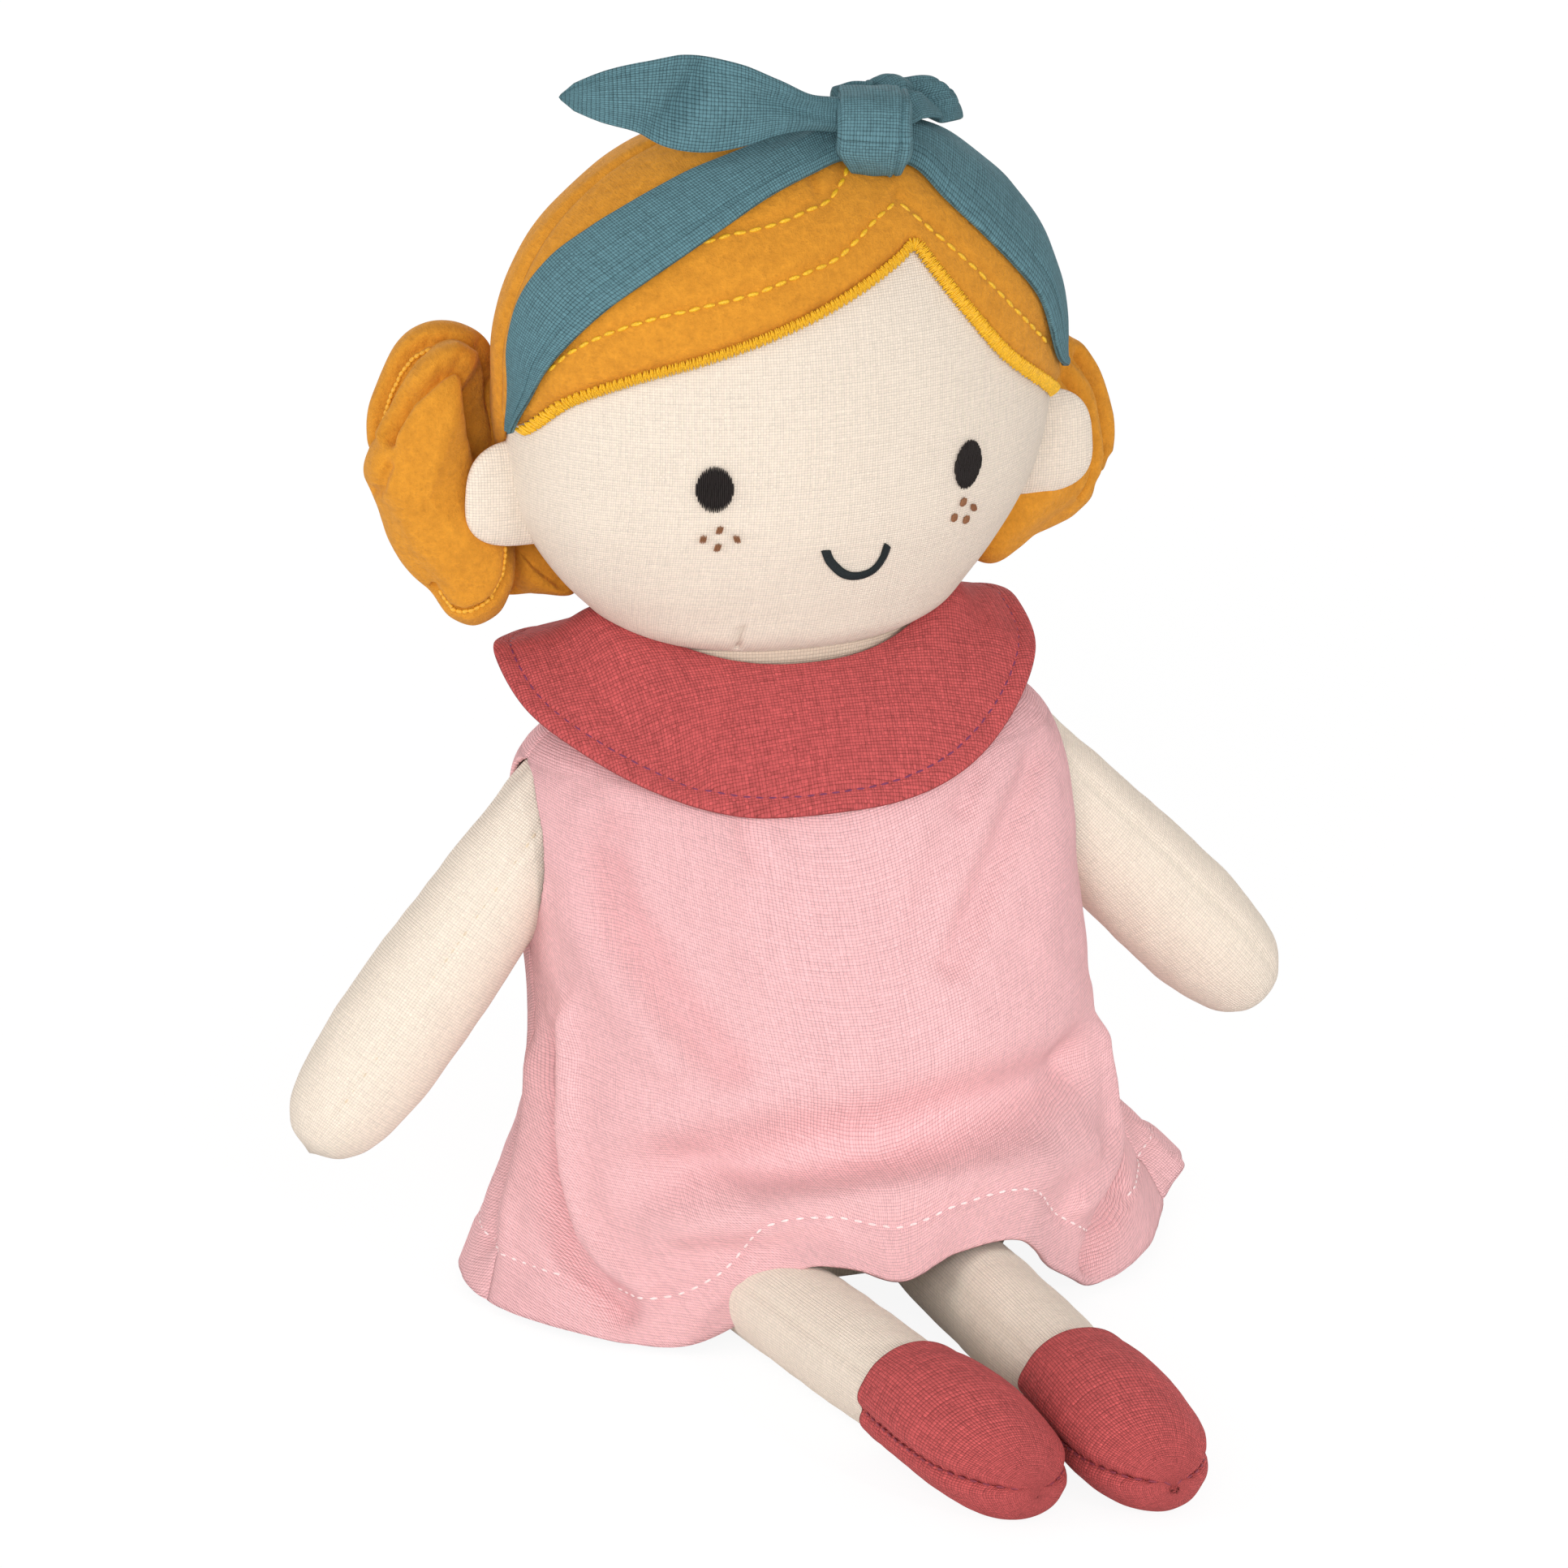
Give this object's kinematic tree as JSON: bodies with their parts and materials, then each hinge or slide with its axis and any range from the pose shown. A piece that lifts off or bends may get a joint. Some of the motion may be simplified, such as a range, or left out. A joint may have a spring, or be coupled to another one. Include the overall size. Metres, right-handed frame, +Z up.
{
  "type": "rag doll",
  "caption": "Seated rag doll with a stitched face, mustard felt hair in two rolled buns, a teal knotted headband, a red collar, a pink dress and red shoes",
  "frame": {"origin": "on the surface that the doll sits on, in the middle of its width, under the front half of the seat", "axes": "+Z up, the doll faces -Y, and +X is the doll's own left"},
  "size_m": [0.2123, 0.2075, 0.2525],
  "materials": {
    "linen_skin": "plain-woven linen, undyed",
    "felt_hair": "wool felt, mustard",
    "teal_linen": "plain-woven linen, dyed teal",
    "red_linen": "plain-woven linen, dyed brick red",
    "pink_linen": "washed slub linen, dyed rose pink",
    "gold_thread": "satin stitch, glossy thread",
    "black_thread": "satin stitch, matt thread",
    "blue_black_thread": "satin stitch, matt thread",
    "brown_thread": "satin stitch, matt thread",
    "stuffing": "loose polyester fibre"
  },
  "bodies": {
    "torso": {"torso_skin": "linen_skin", "torso_stuffing": "stuffing", "dress_front": "pink_linen", "dress_back": "pink_linen", "collar": "red_linen"},
    "neck": {"neck_band": "linen_skin", "neck_stuffing": "stuffing"},
    "head": {"head_stuffing": "stuffing", "face_panel": "linen_skin", "hair_front": "felt_hair", "hair_back": "felt_hair", "hairline_stitch": "gold_thread", "right_eye": "black_thread", "left_eye": "black_thread", "right_freckle_1": "brown_thread", "right_freckle_2": "brown_thread", "right_freckle_3": "brown_thread", "right_freckle_4": "brown_thread", "left_freckle_1": "brown_thread", "left_freckle_2": "brown_thread", "left_freckle_3": "brown_thread", "left_freckle_4": "brown_thread", "smile": "blue_black_thread", "headband": "teal_linen", "bow_knot": "teal_linen", "right_ear": "linen_skin", "left_ear": "linen_skin", "right_bun_lobe": "felt_hair", "left_bun_lobe": "felt_hair", "right_bun_wrap": "felt_hair", "left_bun_wrap": "felt_hair"},
    "right_arm": {"right_arm_skin": "linen_skin", "right_arm_stuffing": "stuffing"},
    "left_arm": {"left_arm_skin": "linen_skin", "left_arm_stuffing": "stuffing"},
    "right_leg": {"right_leg_skin": "linen_skin", "right_leg_stuffing": "stuffing", "right_shoe_upper": "red_linen", "right_shoe_sole": "red_linen"},
    "left_leg": {"left_leg_skin": "linen_skin", "left_leg_stuffing": "stuffing", "left_shoe_upper": "red_linen", "left_shoe_sole": "red_linen"},
    "right_tail": {"bow_right_tail": "teal_linen"},
    "left_tail": {"bow_left_tail": "teal_linen"}
  },
  "joints": [
    {"name": "head_nod", "type": "hinge", "parent": "torso", "child": "neck", "pos_m": [0, 0.026, 0.131], "axis": [1, 0, 0], "range_deg": [-15, 15], "deforming": ["collar"]},
    {"name": "head_turn", "type": "hinge", "parent": "neck", "child": "head", "pos_m": [0, 0.026, 0.131], "axis": [0, 0, 1], "range_deg": [-25, 25], "deforming": ["collar"]},
    {"name": "right_shoulder", "type": "hinge", "parent": "torso", "child": "right_arm", "pos_m": [-0.04534, 0.0205, 0.1045], "axis": [-1, 0, 0], "range_deg": [-40, 80], "deforming": ["dress_front", "dress_back", "collar"]},
    {"name": "left_shoulder", "type": "hinge", "parent": "torso", "child": "left_arm", "pos_m": [0.04534, 0.0205, 0.1045], "axis": [-1, 0, 0], "range_deg": [-40, 80], "deforming": ["dress_front", "dress_back", "collar"]},
    {"name": "right_hip", "type": "hinge", "parent": "torso", "child": "right_leg", "pos_m": [-0.0198, -0.0196, 0.006], "axis": [1, 0, 0], "range_deg": [-15, 90], "deforming": ["dress_front", "dress_back"]},
    {"name": "left_hip", "type": "hinge", "parent": "torso", "child": "left_leg", "pos_m": [0.0198, -0.0196, 0.006], "axis": [1, 0, 0], "range_deg": [-15, 90], "deforming": ["dress_front", "dress_back"]},
    {"name": "right_tail_sway", "type": "hinge", "parent": "head", "child": "right_tail", "pos_m": [0.0125, 0.0063, 0.2355], "axis": [0.16, 0.9871, 0], "range_deg": [0, 30]},
    {"name": "left_tail_sway", "type": "hinge", "parent": "head", "child": "left_tail", "pos_m": [0.0125, 0.0063, 0.2355], "axis": [0.6649, -0.7469, 0], "range_deg": [0, 30]}
  ]
}
